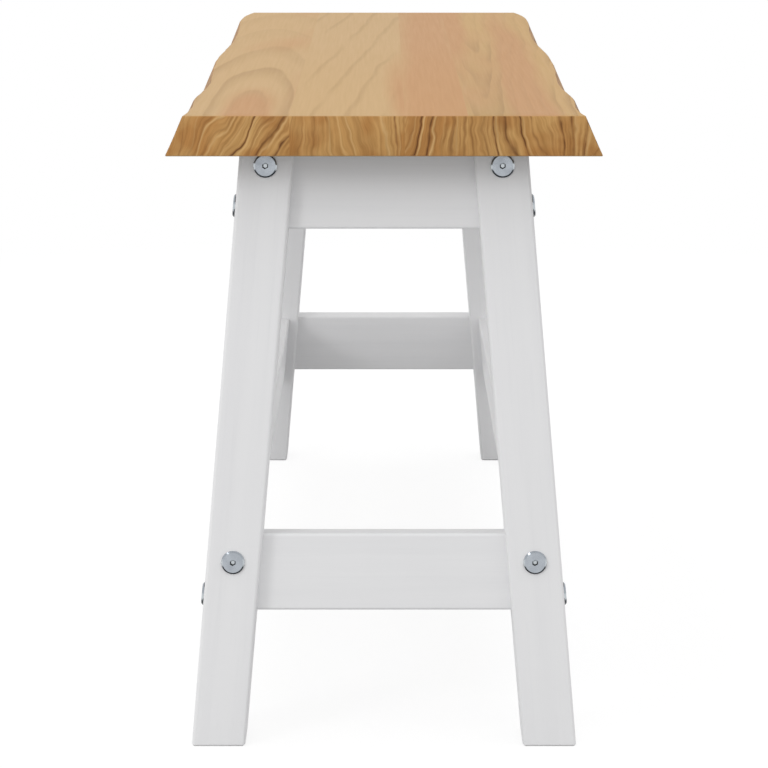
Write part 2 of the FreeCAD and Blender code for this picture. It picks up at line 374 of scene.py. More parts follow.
@dataclass(frozen=True)
class Oval(Figure):
    """A nest of long ovals round a knot at the front end, cut in half by the saw."""

    def outwards(self, sheet: NodeSheet, aside: Socket, ahead: Socket) -> Socket:
        """Count of ovals."""
        return sheet.length(sheet.join(aside, ahead, 0.0))


@dataclass(frozen=True)
class Patch:
    """One long patch of another tone on a stave's face, an ellipse with soft borders."""

    centre: float
    width: float
    middle: float
    reach: float
    soft: float = 0.30

    def share(self, sheet: NodeSheet, across: Socket, along: Socket) -> Socket:
        """How strongly the patch shows.

        Args:
            sheet: The material's nodes.
            across: Place across the grain.
            along: Distance from the front end.

        Returns:
            1 inside the patch, 0 outside.
        """
        aside = sheet.ratio(across, self.centre, self.width)
        ahead = sheet.ratio(along, self.middle, self.reach)
        away = sheet.length(sheet.join(aside, ahead, 0.0))
        return sheet.levels(away, (1.0 - self.soft, 1.0 + self.soft), (1.0, 0.0))


@dataclass(frozen=True)
class LongGrain:
    """Stained pine along the grain: pale tan with growth lines, fibres and pink and dark patches.

    The wood turns pink in the patches of `blushes` and where slow noise passes `rosy_level`. A growth
    line darkens from `line_start` on the way from one line to the next. It shows where noise passes
    `line_fade`, and weaker past `line_reach` from the front end and on pink wood. The borders of all
    these are soft.
    """

    name: str
    figure: Figure
    blushes: tuple[Patch, ...]
    rosy_level: float
    line_share: float
    line_start: float
    line_fade: float
    seed: float
    line_reach: float = 2.0
    shades: tuple[Patch, ...] = ()
    shade_share: float = 0.33
    pale: Colour = (0.590, 0.399, 0.207)
    rosy: Colour = (0.558, 0.319, 0.160)
    line: Colour = (0.367, 0.221, 0.102)
    rosy_border: float = 0.12
    fade_border: float = 0.20
    reach_border: float = 0.3
    far_share: float = 0.3
    pink_share: float = 0.25
    line_depth: float = 0.35
    stretch: float = 0.22
    wander: float = 0.024
    drift: float = 0.070
    fibre_stretch: float = 0.02

    def material(self, front: float) -> Material:
        """Build the finish.

        Args:
            front: Y of the stave's front end.

        Returns:
            The material.
        """
        sheet = NodeSheet.named(self.name)
        x, y, _ = sheet.split(sheet.place())
        slow = sheet.vector_calc("ADD", sheet.stretched(y=self.stretch), (0.0, 0.0, self.seed)).outputs[0]
        across = sheet.calc("ADD", x, sheet.swing(slow, scale=15.0, width=self.wander))
        along = sheet.calc("ADD", y, sheet.swing(slow, scale=24.0, width=self.drift), -front)

        # Wood between the lines
        rosy = sheet.noise(slow, scale=11.0, roughness=0.45)
        rosy = sheet.levels(rosy, (self.rosy_level - self.rosy_border, self.rosy_level + self.rosy_border))
        pink = 0.0
        for blush in self.blushes:
            pink = sheet.calc("MAXIMUM", pink, blush.share(sheet, across, along))
        pale = self.pale
        for shade in self.shades:
            share = sheet.calc("MULTIPLY", shade.share(sheet, across, along), self.shade_share)
            pale = sheet.mix(share, pale, self.line)
        colour = sheet.mix(sheet.calc("MAXIMUM", rosy, pink), pale, self.rosy)

        # Growth lines
        phase = sheet.calc("FRACT", self.figure.rings(sheet, across, along))
        tones = grey_tones((0.0, 0.0), (self.line_start, 0.05), (0.86, 0.9), (0.92, 1.0), (1.0, 0.0))
        late = sheet.ramp(phase, tones)
        fade = sheet.noise(slow, scale=19.0, detail=1.0)
        fade = sheet.levels(fade, (self.line_fade, self.line_fade + self.fade_border))
        shown = sheet.levels(pink, (0.0, 1.0), (self.line_share, self.pink_share * self.line_share))
        border = self.reach_border * self.line_reach
        ends = (self.line_reach - border, self.line_reach + border)
        near = sheet.levels(along, ends, (1.0, self.far_share))
        colour = sheet.mix(sheet.calc("MULTIPLY", late, fade, shown, near), colour, self.line)

        # Fibres
        fibres = sheet.fine_noise(sheet.stretched(y=self.fibre_stretch), scale=480.0)
        colour = sheet.streaked(colour, fibres, grey_tones((0.30, 0.965), (0.62, 1.0)))
        height = sheet.calc("ADD", fibres, sheet.calc("MULTIPLY", late, -self.line_depth))
        return sheet.finish({
            "Base Color": colour,
            "Roughness": sheet.levels(fibres, (0.3, 0.7), (0.72, 0.62)),
            "Specular IOR Level": 0.08,
            "Normal": sheet.bump(height, strength=0.15, distance=0.0003),
        })


@dataclass(frozen=True)
class EndGrain:
    """Sawn end of a stave: honey brown with growth lines of uneven width that stand nearly upright.

    The lines lean by `leans` at the stave's left side, its middle and its right side, as run over rise.
    They are bold between the two places of `bold` and faint elsewhere. They sway by `sway`, stand
    unevenly by `bunch`, and between two of them lie `fine_lines` fine ones.
    """

    name: str
    leans: Triple
    bold: Pair
    seed: float
    border: float = 0.006
    faint: float = 0.22
    spacing: float = 0.0090
    sway: float = 0.0095
    bunch: float = 0.030
    fine_lines: float = 2.7
    streak_stretch: float = 0.06
    straw: Colour = (0.715, 0.460, 0.200)
    honey: Colour = (0.630, 0.365, 0.132)
    golden: Colour = (0.505, 0.262, 0.082)
    rust: Colour = (0.455, 0.205, 0.055)
    russet: Colour = (0.320, 0.138, 0.038)
    umber: Colour = (0.110, 0.040, 0.011)
    streak: Colour = (0.720, 0.670, 0.600)

    def lean(self, sheet: NodeSheet, x: Socket, left: float, right: float) -> Socket:
        """Lean of the growth lines at a place across the stave.

        Args:
            sheet: The material's nodes.
            x: The place.
            left: X of the stave's left side.
            right: X of its right side.

        Returns:
            Run over rise.
        """
        centre = (left + right) / 2
        first, second, third = self.leans
        towards_centre = sheet.levels(x, (left, centre), (first, second))
        return sheet.calc("ADD", towards_centre, sheet.levels(x, (centre, right), (0.0, third - second)))

    def boldness(self, sheet: NodeSheet, upright: Socket) -> Socket:
        """Strength of the growth lines.

        Args:
            sheet: The material's nodes.
            upright: Place across the growth lines.

        Returns:
            1 in the bold stretch, and faint elsewhere.
        """
        start, end = self.bold
        away = sheet.calc("ABSOLUTE", sheet.calc("SUBTRACT", upright, (start + end) / 2))
        half = (end - start) / 2
        return sheet.levels(away, (half - self.border, half + self.border), (1.0, self.faint))

    @staticmethod
    def line(sheet: NodeSheet, phase: Socket, place: float, reach: object) -> Socket:
        """Soft line that is 1 on its middle and 0 one reach to either side."""
        away = sheet.calc("ABSOLUTE", sheet.calc("SUBTRACT", phase, place))
        return sheet.levels(away, (0.0, reach), (1.0, 0.0))

    def material(self, low: Vector, high: Vector) -> Material:
        """Build the finish.

        Args:
            low: The stave's lowest corner.
            high: Its highest corner.

        Returns:
            The material.
        """
        sheet = NodeSheet.named(self.name)
        x, _, z = sheet.split(sheet.place())
        face = sheet.join(x, self.seed, z)
        rise = sheet.calc("SUBTRACT", z, (low.z + high.z) / 2)
        slant = sheet.calc("MULTIPLY", rise, self.lean(sheet, x, low.x, high.x))
        sway = sheet.swing(face, scale=52.0, width=self.sway)
        upright = sheet.calc("SUBTRACT", sheet.calc("ADD", x, sway), slant)
        spread = sheet.swing(sheet.join(x, self.seed, 0.0), scale=34.0, width=self.bunch)
        ring = sheet.calc("DIVIDE", sheet.calc("ADD", upright, spread), self.spacing)
        phase = sheet.calc("FRACT", ring)
        whole = sheet.calc("FLOOR", ring)
        chances = sheet.add("ShaderNodeTexWhiteNoise", {"W": whole}, noise_dimensions="1D")
        strong, wide, light = sheet.split(chances.outputs["Color"])

        # Wood between the lines, with rust patches and groups of fine lines
        standing = sheet.join(upright, self.seed, sheet.calc("MULTIPLY", z, self.streak_stretch))
        colour = sheet.ramp(sheet.noise(standing, scale=75.0), ((0.30, self.golden), (0.58, self.honey)))
        patches = sheet.levels(sheet.noise(face, scale=38.0), (0.44, 0.60), (0.0, 0.75))
        colour = sheet.mix(patches, colour, self.rust)
        fine = sheet.calc("FRACT", sheet.calc("MULTIPLY", ring, self.fine_lines))
        fine = self.line(sheet, fine, place=0.5, reach=0.35)
        groups = sheet.levels(sheet.noise(face, scale=42.0, detail=1.0), (0.42, 0.62), (0.0, 0.50))
        colour = sheet.mix(sheet.calc("MULTIPLY", fine, groups), colour, self.russet)

        # Growth lines: a pale border, a soft band and a dark core
        pale = self.line(sheet, phase, place=0.78, reach=0.14)
        pale = sheet.calc("MULTIPLY", pale, sheet.levels(light, (0.2, 1.0), (0.0, 0.9)))
        colour = sheet.mix(pale, colour, self.straw)
        broken = sheet.levels(sheet.noise(face, scale=70.0), (0.34, 0.54), (0.35, 1.0))
        fade = sheet.calc("MULTIPLY", broken, self.boldness(sheet, upright))
        soft = self.line(sheet, phase, place=0.5, reach=sheet.levels(wide, (0.0, 1.0), (0.12, 0.36)))
        soft = sheet.calc("MULTIPLY", soft, fade, sheet.levels(strong, (0.0, 0.7), (0.15, 1.0)))
        colour = sheet.mix(soft, colour, self.russet)
        core = self.line(sheet, phase, place=0.53, reach=0.11)
        core = sheet.calc("MULTIPLY", core, fade, sheet.levels(strong, (0.2, 0.7)))
        colour = sheet.mix(core, colour, self.umber)

        # Streaks
        streaks = sheet.fine_noise(standing, scale=430.0)
        colour = sheet.streaked(colour, streaks, ((0.32, self.streak), (0.60, WHITE)), share=0.9)
        return sheet.finish({
            "Base Color": colour,
            "Roughness": 0.6,
            "Specular IOR Level": 0.2,
            "Normal": sheet.bump(sheet.calc("SUBTRACT", streaks, soft), strength=0.12, distance=0.0003),
        })


@dataclass(frozen=True)
class WaneyEdge:
    """Bark edge cleaned back to the sapwood: brown streaks that run along the seat."""

    name: str
    amber: Colour = (0.430, 0.225, 0.080)
    pale: Colour = (0.560, 0.335, 0.145)
    umber: Colour = (0.170, 0.075, 0.025)
    streak: Colour = (0.740, 0.700, 0.640)
    layer: float = 0.0065
    sway: float = 0.012
    stretch: float = 0.10
    fibre_stretch: float = 0.04

    def material(self) -> Material:
        """Build the finish.

        Returns:
            The material.
        """
        sheet = NodeSheet.named(self.name)
        x, _, z = sheet.split(sheet.place())
        slow = sheet.stretched(y=self.stretch)
        sway = sheet.swing(slow, scale=55.0, width=self.sway, detail=3.0)
        layer = sheet.calc("FRACT", sheet.calc("DIVIDE", sheet.calc("ADD", z, sway, x), self.layer))
        tones = ((0.0, self.pale), (0.55, self.amber), (0.9, self.umber), (1.0, self.pale))
        colour = sheet.ramp(layer, tones)
        blotch = sheet.fine_noise(slow, scale=40.0)
        colour = sheet.mix(sheet.levels(blotch, (0.4, 0.65), (0.15, 0.75)), colour, self.amber)
        fibres = sheet.fine_noise(sheet.stretched(y=self.fibre_stretch), scale=420.0)
        colour = sheet.streaked(colour, fibres, ((0.3, self.streak), (0.6, WHITE)), share=0.8)
        return sheet.finish({
            "Base Color": colour,
            "Roughness": 0.6,
            "Specular IOR Level": 0.3,
            "Normal": sheet.bump(sheet.calc("ADD", fibres, blotch), strength=0.5, distance=0.0012),
        })


@dataclass(frozen=True)
class SawnUnderside:
    """Underside of the seat: sawn pine left without stain, dull and greyed."""

    name: str
    pale: Colour = (0.385, 0.340, 0.290)
    dark: Colour = (0.285, 0.245, 0.205)
    fibre_stretch: float = 0.03
    mark_stretch: float = 0.05

    def material(self) -> Material:
        """Build the finish.

        Returns:
            The material.
        """
        sheet = NodeSheet.named(self.name)
        fibres = sheet.noise(sheet.stretched(y=self.fibre_stretch), scale=260.0, detail=4.0, roughness=0.6)
        saw_marks = sheet.noise(sheet.stretched(x=self.mark_stretch), scale=420.0, detail=1.0)
        return sheet.finish({
            "Base Color": sheet.ramp(fibres, ((0.35, self.dark), (0.62, self.pale))),
            "Roughness": 0.85,
            "Specular IOR Level": 0.1,
            "Normal": sheet.bump(sheet.calc("ADD", fibres, saw_marks), strength=0.4, distance=0.0006),
        })


@dataclass(frozen=True)
class WhitePaint:
    """Satin white paint through which the grain of the pine shows faintly."""

    name: str
    grain: Triple
    white: Colour = (0.860, 0.860, 0.868)
    greyed: Colour = (0.800, 0.801, 0.813)
    stretch: float = 0.035
    fibre_height: float = 0.5

    def material(self) -> Material:
        """Build the finish.

        Returns:
            The material.
        """
        sheet = NodeSheet.named(self.name)
        place = sheet.place()
        along = sheet.vector_calc("DOT_PRODUCT", place, self.grain).outputs["Value"]
        run = sheet.scaled(self.grain, along)
        across = sheet.vector_calc("SUBTRACT", place, run).outputs[0]
        slow = sheet.vector_calc("ADD", across, sheet.scaled(run, self.stretch)).outputs[0]
        fibres = sheet.fine_noise(slow, scale=420.0)
        bands = sheet.noise(slow, scale=85.0, detail=3.0, roughness=0.55)
        clouds = sheet.noise(place, scale=11.0)
        amount = sheet.calc(
            "ADD",
            sheet.levels(bands, (0.42, 0.75), (0.0, 0.42)),
            sheet.levels(fibres, (0.55, 0.80), (0.0, 0.35)),
            sheet.levels(clouds, (0.45, 0.75), (0.0, 0.20)),
        )
        height = sheet.calc("ADD", sheet.calc("MULTIPLY", fibres, self.fibre_height), bands)
        return sheet.finish({
            "Base Color": sheet.mix(amount, self.white, self.greyed),
            "Roughness": sheet.levels(bands, (0.3, 0.7), (0.40, 0.52)),
            "Specular IOR Level": 0.25,
            "Normal": sheet.bump(height, strength=0.15, distance=0.0004),
        })


@dataclass(frozen=True)
class ZincSteel:
    """Zinc-plated steel, bluish grey with fine scratches."""

    name: str
    colour: Colour = (0.445, 0.478, 0.518)
    dull: Colour = (0.350, 0.378, 0.418)
    smooth: float = 0.20
    worn: float = 0.34
    stretch: float = 0.15

    def material(self) -> Material:
        """Build the finish.

        Returns:
            The material.
        """
        sheet = NodeSheet.named(self.name)
        scratches = sheet.noise(sheet.stretched(x=self.stretch), scale=1900.0)
        cloud = sheet.noise(sheet.place(), scale=160.0)
        dulled = sheet.levels(cloud, (0.35, 0.7), (0.0, 0.7))
        wear_and_shade_noise = sheet.calc("ADD", scratches, cloud)
        return sheet.finish({
            "Base Color": sheet.mix(dulled, self.colour, self.dull),
            "Metallic": 1.0,
            "Roughness": sheet.levels(wear_and_shade_noise, (0.7, 1.3), (self.smooth, self.worn)),
            "Normal": sheet.bump(scratches, strength=0.06, distance=0.0002),
        })


@dataclass(frozen=True)
class BoltRim:
    """Turned rims of the bolt heads and walls of their sockets, in tones that follow where they face.

    The tones are painted reflection and shade, not light from the lamps. The places of the tones run from
    0 where a surface faces down to 1 where it faces up.
    """

    name: str
    # Painted reflection and shade of the rims: dark facing down, light at the sides, darker facing up
    tones: Tones = (
        (0.375, (0.035, 0.040, 0.046)),
        (0.450, (0.515, 0.550, 0.575)),
        (0.600, (0.515, 0.550, 0.575)),
        (0.680, (0.345, 0.375, 0.410)),
    )
    metal: float = 1.0
    roughness: float = 0.14
    # Noise that blurs the borders of the painted reflection and shade
    wear_and_shade_noise: float = 0.2

    def material(self) -> Material:
        """Build the finish.

        Returns:
            The material.
        """
        sheet = NodeSheet.named(self.name)
        # Painted reflection and shade: the colour is read from which way the surface faces, with noise on
        # its borders
        normal = sheet.add("ShaderNodeTexCoord").outputs["Normal"]
        wear_and_shade_noise = sheet.swing(sheet.place(), scale=700.0, width=self.wear_and_shade_noise)
        upward = sheet.calc("ADD", sheet.split(normal)[2], wear_and_shade_noise)
        return sheet.finish({
            "Base Color": sheet.ramp(sheet.levels(upward, (-1.0, 1.0)), self.tones),
            "Metallic": self.metal,
            "Roughness": self.roughness,
        })


@dataclass(frozen=True)
class RawBeech:
    """Unfinished beech of the dowels."""

    name: str
    pale: Colour = (0.560, 0.385, 0.215)
    dark: Colour = (0.400, 0.240, 0.115)

    def material(self) -> Material:
        """Build the finish.

        Returns:
            The material.
        """
        sheet = NodeSheet.named(self.name)
        fibres = sheet.fine_noise(sheet.place(), scale=700.0)
        return sheet.finish({
            "Base Color": sheet.ramp(fibres, ((0.35, self.dark), (0.6, self.pale))),
            "Roughness": 0.7,
            "Normal": sheet.bump(fibres, strength=0.2, distance=0.0003),
        })


class Workshop:
    """Short calls for modelling with operators on one object at a time."""

    @staticmethod
    def clear() -> None:
        """Leave edit mode and deselect every object."""
        if bpy.context.object and bpy.context.object.mode != "OBJECT":
            bpy.ops.object.mode_set(mode="OBJECT")
        bpy.ops.object.select_all(action="DESELECT")

    @staticmethod
    def take(*pieces: Piece) -> None:
        """Select some objects and nothing else, and make the first of them active.

        Args:
            pieces: The objects.
        """
        Workshop.clear()
        for piece in pieces:
            piece.select_set(True)
        bpy.context.view_layer.objects.active = pieces[0]

    @staticmethod
    def settle(name: str) -> Piece:
        """Name the object just made and put its place and size into its mesh.

        Args:
            name: The piece's name.

        Returns:
            The piece, at the origin and unscaled.
        """
        piece = bpy.context.object
        piece.name = name
        piece.data.name = name
        bpy.ops.object.transform_apply(location=True, rotation=True, scale=True)
        return piece

    @staticmethod
    def block(name: str, low: Vector, high: Vector) -> Piece:
        """Start a piece as a block between two corners.

        Args:
            name: The piece's name.
            low: Lowest corner.
            high: Highest corner.

        Returns:
            The block.
        """
        Workshop.clear()
        bpy.ops.mesh.primitive_cube_add(size=1.0, location=(low + high) / 2, scale=high - low)
        return Workshop.settle(name)

    @staticmethod
    def slice(place: Vector, normal: Vector) -> None:
        """Cut new edges round the whole mesh in edit mode, on one plane."""
        bpy.ops.mesh.select_all(action="SELECT")
        bpy.ops.mesh.bisect(plane_co=place, plane_no=normal)

    @staticmethod
    def pick(piece: Piece, kind: Element, wanted: Test) -> None:
        """Select the vertices, edges or faces that pass a test.

        Args:
            piece: The object in edit mode.
            kind: Kind of element.
            wanted: Test on the place and normal of a vertex or face, or on the two ends of an edge.
        """
        bpy.ops.mesh.select_mode(type=kind.value)
        bpy.ops.mesh.select_all(action="DESELECT")
        bpy.ops.object.mode_set(mode="OBJECT")
        mesh = piece.data
        if kind is Element.VERTEX:
            for vertex in mesh.vertices:
                vertex.select = wanted(vertex.co, vertex.normal)
        elif kind is Element.EDGE:
            for edge in mesh.edges:
                first, second = edge.vertices
                edge.select = wanted(mesh.vertices[first].co, mesh.vertices[second].co)
        else:
            for polygon in mesh.polygons:
                polygon.select = wanted(polygon.center, polygon.normal)
        bpy.ops.object.mode_set(mode="EDIT")

    @staticmethod
    def dress(piece: Piece, slot: Face | BoltFace, wanted: Test) -> None:
        """Give the faces that pass a test the material in a slot.

        Args:
            piece: The object in edit mode.
            slot: The material's slot.
            wanted: Test on a face's centre and normal.
        """
        Workshop.pick(piece, Element.FACE, wanted)
        piece.active_material_index = slot.value
        bpy.ops.object.material_slot_assign()

    @staticmethod
    def close(piece: Piece) -> None:
        """Leave edit mode and shade the piece smooth over its rounded edges."""
        Workshop.take(piece)
        bpy.ops.object.shade_smooth_by_angle(angle=SMOOTH_ANGLE)

    @staticmethod
    def remove(piece: Piece) -> None:
        """Delete an object that was only a pattern or a tool."""
        Workshop.take(piece)
        bpy.ops.object.delete()


def steps(low: float, high: float, count: int) -> list[float]:
    """Places at equal steps from one end to the other, both ends among them."""
    return [low + (high - low) * number / count for number in range(count + 1)]


def follow(points: Sequence[Pair], place: float) -> float:
    """Value at a place on a line of points sorted by place.

    Args:
        points: Place and value of each point.
        place: Where the value is wanted.

    Returns:
        The value, in between the nearest two points.
    """
    places = [point[0] for point in points]
    after = min(max(bisect_left(places, place), 1), len(points) - 1)
    (start, first), (end, second) = points[after - 1], points[after]
    share = (place - start) / (end - start)
    return first + (second - first) * min(max(share, 0.0), 1.0)


@dataclass
class Stave:
    """One pine stave of the seat.

    A face looks one way when its normal's part that way is over `facing`, and is bark side when its
    part outwards is over `leaning`. Hollows are pressed into what lies past `bark_share` of the width
    of a stave with a bark side.
    """

    node: str
    waney: Side
    long_grain: LongGrain
    end_grain: EndGrain
    edge_radius: float = 0.0011
    edge_segments: int = 3
    slices: int = 72
    layers: int = 4
    tolerance: float = 0.0004
    facing: float = 0.8
    leaning: float = 0.45
    bark_share: float = 0.55
    hollow_depth: float = 0.0016
    hollow_size: float = 0.028
    hollow_detail: int = 2
    low: Vector = field(init=False)
    high: Vector = field(init=False)

    def __post_init__(self) -> None:
        """Take the stave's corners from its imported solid."""
        self.low, self.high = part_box(self.node)

    @property
    def outer_x(self) -> float:
        """X of the block's outer side before it is shaped."""
        return self.low.x if self.waney is Side.LEFT else self.high.x

    @property
    def joint_x(self) -> float:
        """X of the glue joint on the inner side."""
        return self.high.x if self.waney is Side.LEFT else self.low.x

    def at(self, value: float, *others: float) -> bool:
        """Whether a coordinate is the same as one of some others."""
        return min(abs(value - other) for other in others) < self.tolerance

    def build(self, shared: Sequence[Material]) -> Piece:
        """Model and dress the stave.

        Args:
            shared: Finish of the bark edge and of the underside.

        Returns:
            The finished piece.
        """
        piece = Workshop.block(self.node + "_wood", self.low, self.high)
        ends = self.end_grain.material(self.low, self.high)
        for material in (self.long_grain.material(self.low.y), ends, *shared):
            piece.data.materials.append(material)
        bpy.ops.object.mode_set(mode="EDIT")
        if self.waney is not Side.NONE:
            self.shape_waney_side(piece)
        self.round_edges(piece)
        self.dress(piece)
        Workshop.close(piece)
        if self.waney is not Side.NONE:
            self.roughen(piece)
        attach(piece, ROOT_BODY)
        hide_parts(self.node)
        return piece

    def outline(self, level: float) -> list[Pair]:
        """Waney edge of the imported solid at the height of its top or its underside.

        Args:
            level: Height of the edge.

        Returns:
            Y and X along the edge, from the front end to the back.
        """
        points = set()
        for vertex in bpy.data.objects[self.node].data.vertices:
            place = vertex.co
            if self.at(place.z, level) and not self.at(place.x, self.joint_x):
                points.add((round(place.y, PLACE_DIGITS), place.x))
        return list(dict(sorted(points)).items())

    def shape_waney_side(self, piece: Piece) -> None:
        """Cut the stave into short lengths and layers and push each corner to the bark edge.

        Args:
            piece: The block in edit mode.
        """
        lengths = steps(self.low.y, self.high.y, self.slices)
        heights = steps(self.low.z, self.high.z, self.layers)
        for y in lengths[1:-1]:
            Workshop.slice(Vector((0, y, 0)), Vector((0, 1, 0)))
        for z in heights[1:-1]:
            Workshop.slice(Vector((0, 0, z)), Vector((0, 0, 1)))
        top = self.outline(self.high.z)
        bottom = self.outline(self.low.z)
        for y in lengths:
            for layer, z in enumerate(heights):
                share = layer / self.layers
                x = follow(bottom, y) * (1.0 - share) + follow(top, y) * share
                spot = Vector((self.outer_x, y, z))
                Workshop.pick(
                    piece, Element.VERTEX, lambda place, normal: (place - spot).length < self.tolerance,
                )
                bpy.ops.transform.translate(value=(x - self.outer_x, 0, 0))

    def round_edges(self, piece: Piece) -> None:
        """Ease the edges of the two ends and of the bark side, not those at the glue joints.

        Args:
            piece: The stave in edit mode.
        """

        def wanted(first: Vector, second: Vector) -> bool:
            """Whether an edge is one to ease.

            Args:
                first: Place of its first end.
                second: Place of its second end.

            Returns:
                True to ease it.
            """
            both = (first, second)
            at_end = all(self.at(place.y, self.low.y, self.high.y) for place in both)
            at_face = all(self.at(place.z, self.low.z, self.high.z) for place in both)
            at_joint = any(self.at(place.x, self.joint_x) for place in both)
            bark = self.waney is not Side.NONE and not at_joint
            level = self.at(first.z, second.z)
            along_end = at_end and at_face and level and not self.at(first.x, second.x)
            along_side = bark and at_face and level and not self.at(first.y, second.y)
            up_corner = bark and at_end and not level
            return along_end or along_side or up_corner

        Workshop.pick(piece, Element.EDGE, wanted)
        bpy.ops.mesh.bevel(
            offset=self.edge_radius, segments=self.edge_segments, affect="EDGES", clamp_overlap=True,
        )

    def dress(self, piece: Piece) -> None:
        """Give the ends, the underside and the bark side their finishes, over the long grain's.

        Args:
            piece: The stave in edit mode.
        """
        out = self.waney.value
        Workshop.dress(piece, Face.END_GRAIN, lambda centre, normal: abs(normal.y) > self.facing)
        Workshop.dress(piece, Face.UNDERSIDE, lambda centre, normal: normal.z < -self.facing)
        Workshop.dress(
            piece, Face.WANEY,
            lambda centre, normal: normal.x * out > self.leaning and abs(normal.y) < self.facing,
        )

    def roughen(self, piece: Piece) -> None:
        """Press shallow hollows into the bark side, never outwards.

        Args:
            piece: The finished stave in object mode.
        """
        bark_width = self.bark_share * abs(self.outer_x - self.joint_x)
        chosen = [
            vertex.index for vertex in piece.data.vertices if abs(vertex.co.x - self.joint_x) > bark_width
        ]
        group = piece.vertex_groups.new(name="bark")
        group.add(chosen, 1.0, "REPLACE")
        lumps = bpy.data.textures.new(self.node + "_lumps", "CLOUDS")
        lumps.noise_scale = self.hollow_size
        lumps.noise_depth = self.hollow_detail
        press = piece.modifiers.new("lumps", "DISPLACE")
        press.texture = lumps
        press.texture_coords = "GLOBAL"
        press.direction = "X"
        press.vertex_group = group.name
        press.mid_level = 0.0
        press.strength = -self.waney.value * self.hollow_depth
        bpy.ops.object.modifier_apply(modifier=press.name)


@dataclass
class Seat:
    """The glued seat: four staves side by side."""

    staves: list[Stave] = field(default_factory=list)

    def __post_init__(self) -> None:
        """Lay out the four staves with their own grain."""
        nest = Oval(centre=-0.0945, width=0.0165, step=0.1825, start=0.12)
        flame = Arch(centre=0.016, width=0.0250, step=0.33, blunt=0.3, start=1.1)
        plain = Arch(centre=0.140, width=0.0500, step=2.20, blunt=0.2)
        tongue = Arch(centre=0.074, width=0.0095, step=-0.34, blunt=0.7, start=0.60)
        heart = Patch(centre=-0.0935, width=0.018, middle=0.0, reach=0.145)
        tinge = Patch(centre=0.016, width=0.010, middle=0.10, reach=0.25, soft=0.7)
        broad = Patch(centre=0.040, width=0.031, middle=0.0, reach=1.60, soft=0.4)
        wedge = Patch(centre=0.107, width=0.0165, middle=0.18, reach=0.66)
        strip = Patch(centre=0.056, width=0.017, middle=0.92, reach=0.62)
        smudge = Patch(centre=0.076, width=0.022, middle=0.0, reach=0.35, soft=1.0)
        faces = (
            LongGrain("pine_face_1", nest, (heart,), rosy_level=0.632, line_share=0.42, line_start=0.45,
                      line_fade=0.25, seed=0.0, line_reach=0.46),
            LongGrain("pine_face_2", flame, (tinge,), rosy_level=0.740, line_share=0.27, line_start=0.74,
                      line_fade=0.38, seed=0.37),
            LongGrain("pine_face_3", plain, (broad,), rosy_level=0.620, line_share=0.20, line_start=0.50,
                      line_fade=0.45, seed=0.71),
            LongGrain("pine_face_4", tongue, (wedge, strip), rosy_level=0.680, line_share=0.50,
                      line_start=0.42, line_fade=0.32, seed=1.13, line_reach=0.55, shades=(smudge,),
                      pale=(0.580, 0.377, 0.176)),
        )
        sides = (Side.LEFT, Side.NONE, Side.NONE, Side.RIGHT)
        leans = ((0.0, 0.75, 0.55), (0.25, -0.35, 0.10), (0.45, 0.15, 0.05), (-0.05, -0.40, 0.30))
        bolds = ((-0.104, -0.060), (-0.026, 0.010), (0.016, 0.046), (0.070, 0.138))
        seed_step = 0.61
        for number, (side, face, lean, bold) in enumerate(zip(sides, faces, leans, bolds), start=1):
            end = EndGrain(f"pine_end_{number}", lean, bold, seed=seed_step * number)
            self.staves.append(Stave(f"seat_stave_{number}", side, face, end))

    def build(self) -> Iterable[Piece]:
        """Model the staves one after another.

        Returns:
            The finished pieces, one at a time.
        """
        shared = (WaneyEdge("pine_bark_edge").material(), SawnUnderside("pine_underside").material())
        for stave in self.staves:
            yield stave.build(shared)


@dataclass
class PaintedFrame:
    """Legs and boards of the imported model, in white paint that follows each piece's grain."""

    endings: tuple[str, ...] = ("_left", "_right", "_front", "_back")
    side_grain: Triple = (0.0, 1.0, 0.0)
    end_grain: Triple = (1.0, 0.0, 0.0)

    def leg_grain(self, name: str) -> Triple:
        """Direction of a leg from its foot to its top.

        Args:
            name: The leg's node.

        Returns:
            The direction, of length 1.
        """
        slope = math.tan(SPLAY)
        side = 1.0 if "left" in name else -1.0
        end = 1.0 if "front" in name else -1.0
        return tuple(Vector((side * slope, end * slope, 1.0)).normalized())

    def dress(self, nodes: dict[str, Piece]) -> Iterable[str]:
        """Paint every leg and board.

        Args:
            nodes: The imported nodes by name.

        Returns:
            The name of each painted node, one at a time.
        """
        boards = {
            Run.SIDE: WhitePaint("paint_side_boards", self.side_grain).material(),
            Run.END: WhitePaint("paint_end_boards", self.end_grain).material(),
        }
        for name, node in sorted(nodes.items()):
            if not name.endswith(self.endings):
                continue
            if name.startswith("leg_"):
                node.data.materials[0] = WhitePaint("paint_" + name, self.leg_grain(name)).material()
            else:
                node.data.materials[0] = boards[Run(name.split("_")[0])]
            yield name


